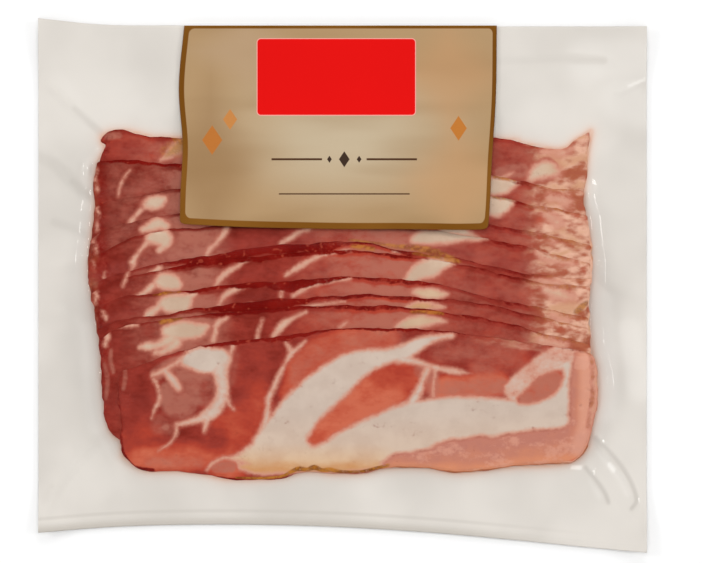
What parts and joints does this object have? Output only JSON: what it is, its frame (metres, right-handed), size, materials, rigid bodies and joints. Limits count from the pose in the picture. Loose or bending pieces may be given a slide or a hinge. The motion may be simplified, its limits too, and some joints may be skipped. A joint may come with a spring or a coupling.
{
  "type": "bacon pack",
  "caption": "Sliced smoked bacon shingled in a flat vacuum pack with a clear front, wide sealed margins and a rectangular label over the upper third.",
  "frame": {"origin": "under the middle of the pack, on the surface that it lies on", "axes": "+X along the slices to the right, +Y towards the edge with the label, +Z out of the clear front"},
  "size_m": [0.205, 0.18, 0.011],
  "materials": {
    "film": "milky vacuum film, glossy, slightly wrinkled",
    "bacon": "cured and smoked pork, moist under clear film",
    "label": "coated printed label, satin"
  },
  "bodies": {
    "root": {"film_pouch": "film", "bacon_slice_01": "bacon", "bacon_slice_02": "bacon", "bacon_slice_03": "bacon", "bacon_slice_04": "bacon", "bacon_slice_05": "bacon", "bacon_slice_06": "bacon", "bacon_slice_07": "bacon", "bacon_slice_08": "bacon", "bacon_slice_09": "bacon", "bacon_slice_10": "bacon", "bacon_slice_11": "bacon", "front_label": "label"}
  },
  "joints": []
}
